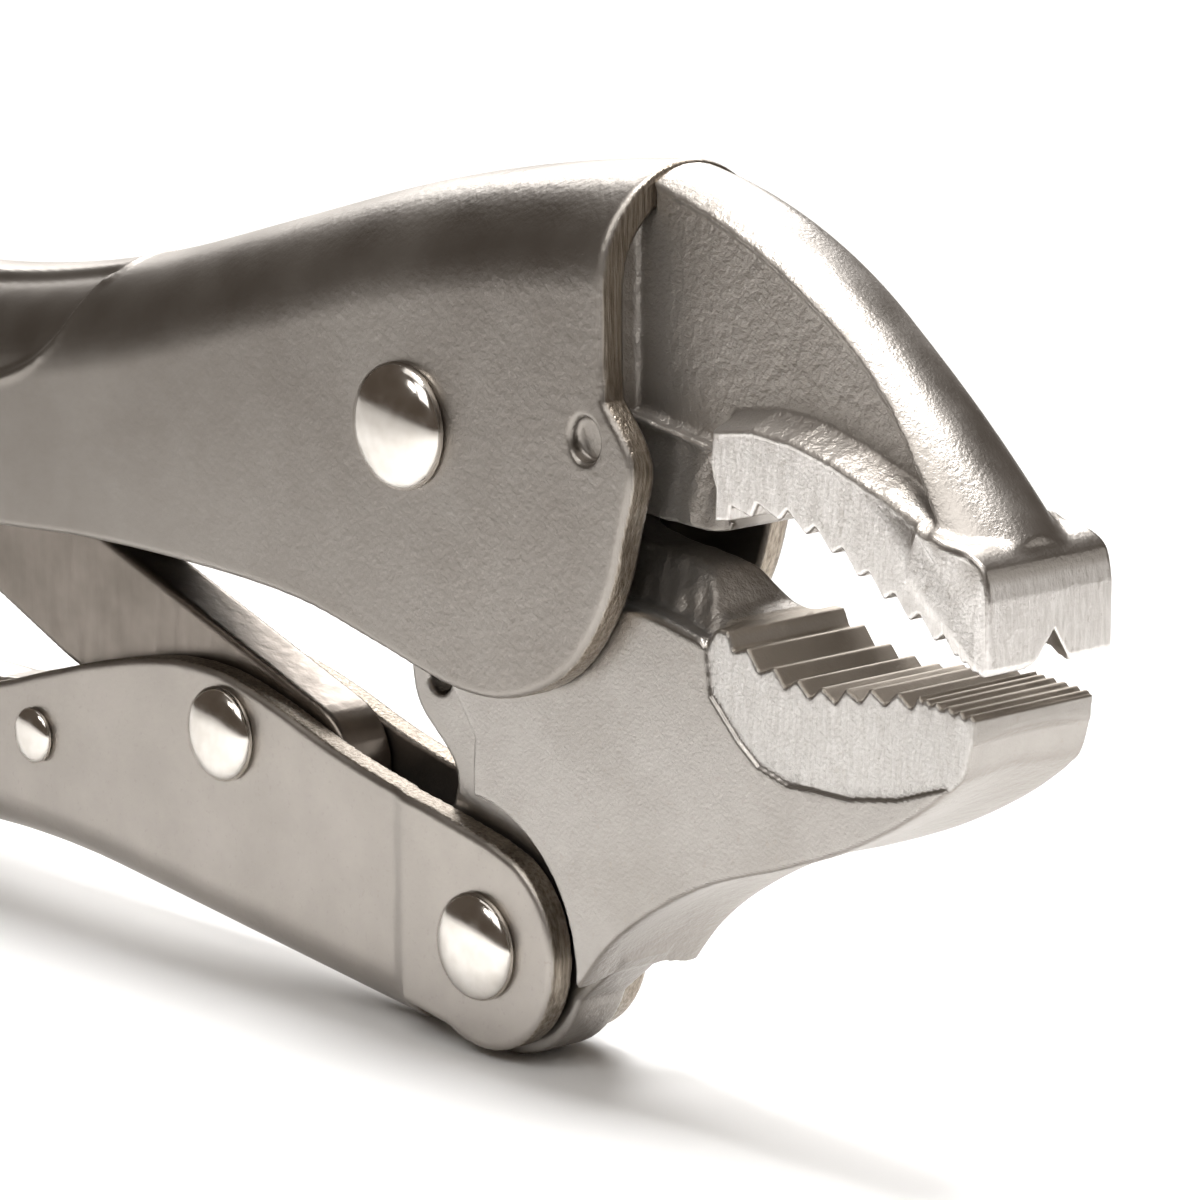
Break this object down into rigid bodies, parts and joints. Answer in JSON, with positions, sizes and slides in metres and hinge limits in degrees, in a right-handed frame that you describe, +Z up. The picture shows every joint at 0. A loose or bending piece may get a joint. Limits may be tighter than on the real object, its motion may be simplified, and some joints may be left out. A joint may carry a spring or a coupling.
{
  "type": "locking pliers",
  "caption": "Curved-jaw locking pliers with toothed jaws, channel handles, toggle link, release lever and adjusting screw.",
  "frame": {"origin": "centre of the bounding box at its bottom, on the surface the closed tool stands on", "axes": "+X along the tool towards the jaws, +Y across it, +Z up towards the fixed jaw and its handle"},
  "size_m": [0.25, 0.0224, 0.0723],
  "materials": {
    "handle_sheet": "satin nickel plate over pressed steel sheet",
    "forged_jaw": "satin nickel plate over forged steel",
    "lower_forging": "satin nickel plate over forged steel, fine grain",
    "rivet_nickel": "polished nickel",
    "link_steel": "dark satin steel",
    "lever_steel": "satin nickel plate",
    "bush_steel": "turned steel",
    "screw_steel": "rolled thread, satin",
    "knob_steel": "fluted, nickel plate",
    "spring_steel": "hard drawn spring wire"
  },
  "bodies": {
    "upper_frame": {"upper_handle": "handle_sheet", "fixed_jaw": "forged_jaw", "main_pivot_rivet": "rivet_nickel", "screw_bush": "bush_steel", "spring_anchor": "bush_steel", "return_spring": "spring_steel"},
    "moving_jaw": {"lower_jaw": "lower_forging"},
    "lower_handle_body": {"lower_handle": "handle_sheet", "front_pivot_rivet": "rivet_nickel", "link_rivet": "rivet_nickel", "release_lever_rivet": "rivet_nickel"},
    "toggle": {"toggle_link": "link_steel"},
    "lever": {"release_lever": "lever_steel"},
    "screw": {"adjusting_screw": "screw_steel"},
    "knob": {"adjusting_knob": "knob_steel"}
  },
  "joints": [
    {"name": "jaw_opening", "type": "hinge", "parent": "upper_frame", "child": "moving_jaw", "pos_m": [0.065, 0, 0.0502], "axis": [0, 1, 0], "range_deg": [0, 22], "deforming": ["return_spring"]},
    {"name": "lower_handle_fold", "type": "hinge", "parent": "moving_jaw", "child": "lower_handle_body", "pos_m": [0.0694, 0, 0.0092], "axis": [0, -1, 0], "range_deg": [0, 75]},
    {"name": "toggle_link_swing", "type": "hinge", "parent": "lower_handle_body", "child": "toggle", "pos_m": [0.0373, 0, 0.0203], "axis": [0, 1, 0], "range_deg": [0, 86]},
    {"name": "release_lever_press", "type": "hinge", "parent": "lower_handle_body", "child": "lever", "pos_m": [0.0117, 0, 0.0155], "axis": [0, -1, 0], "range_deg": [0, 4.8]},
    {"name": "screw_feed", "type": "slide", "parent": "upper_frame", "child": "screw", "axis": [-1, 0, 0], "range_m": [0, 0.018]},
    {"name": "knob_turn", "type": "hinge", "parent": "screw", "child": "knob", "pos_m": [-0.117, 0, 0.04028], "axis": [-1, 0, 0], "range_deg": [0, 5200]}
  ],
  "couplings": [
    {"joint": "lower_handle_fold", "follows": "jaw_opening", "ratio": 3.4},
    {"joint": "toggle_link_swing", "follows": "jaw_opening", "ratio": 3.9},
    {"joint": "knob_turn", "follows": "screw_feed", "rad_per_m": 5026.5}
  ]
}
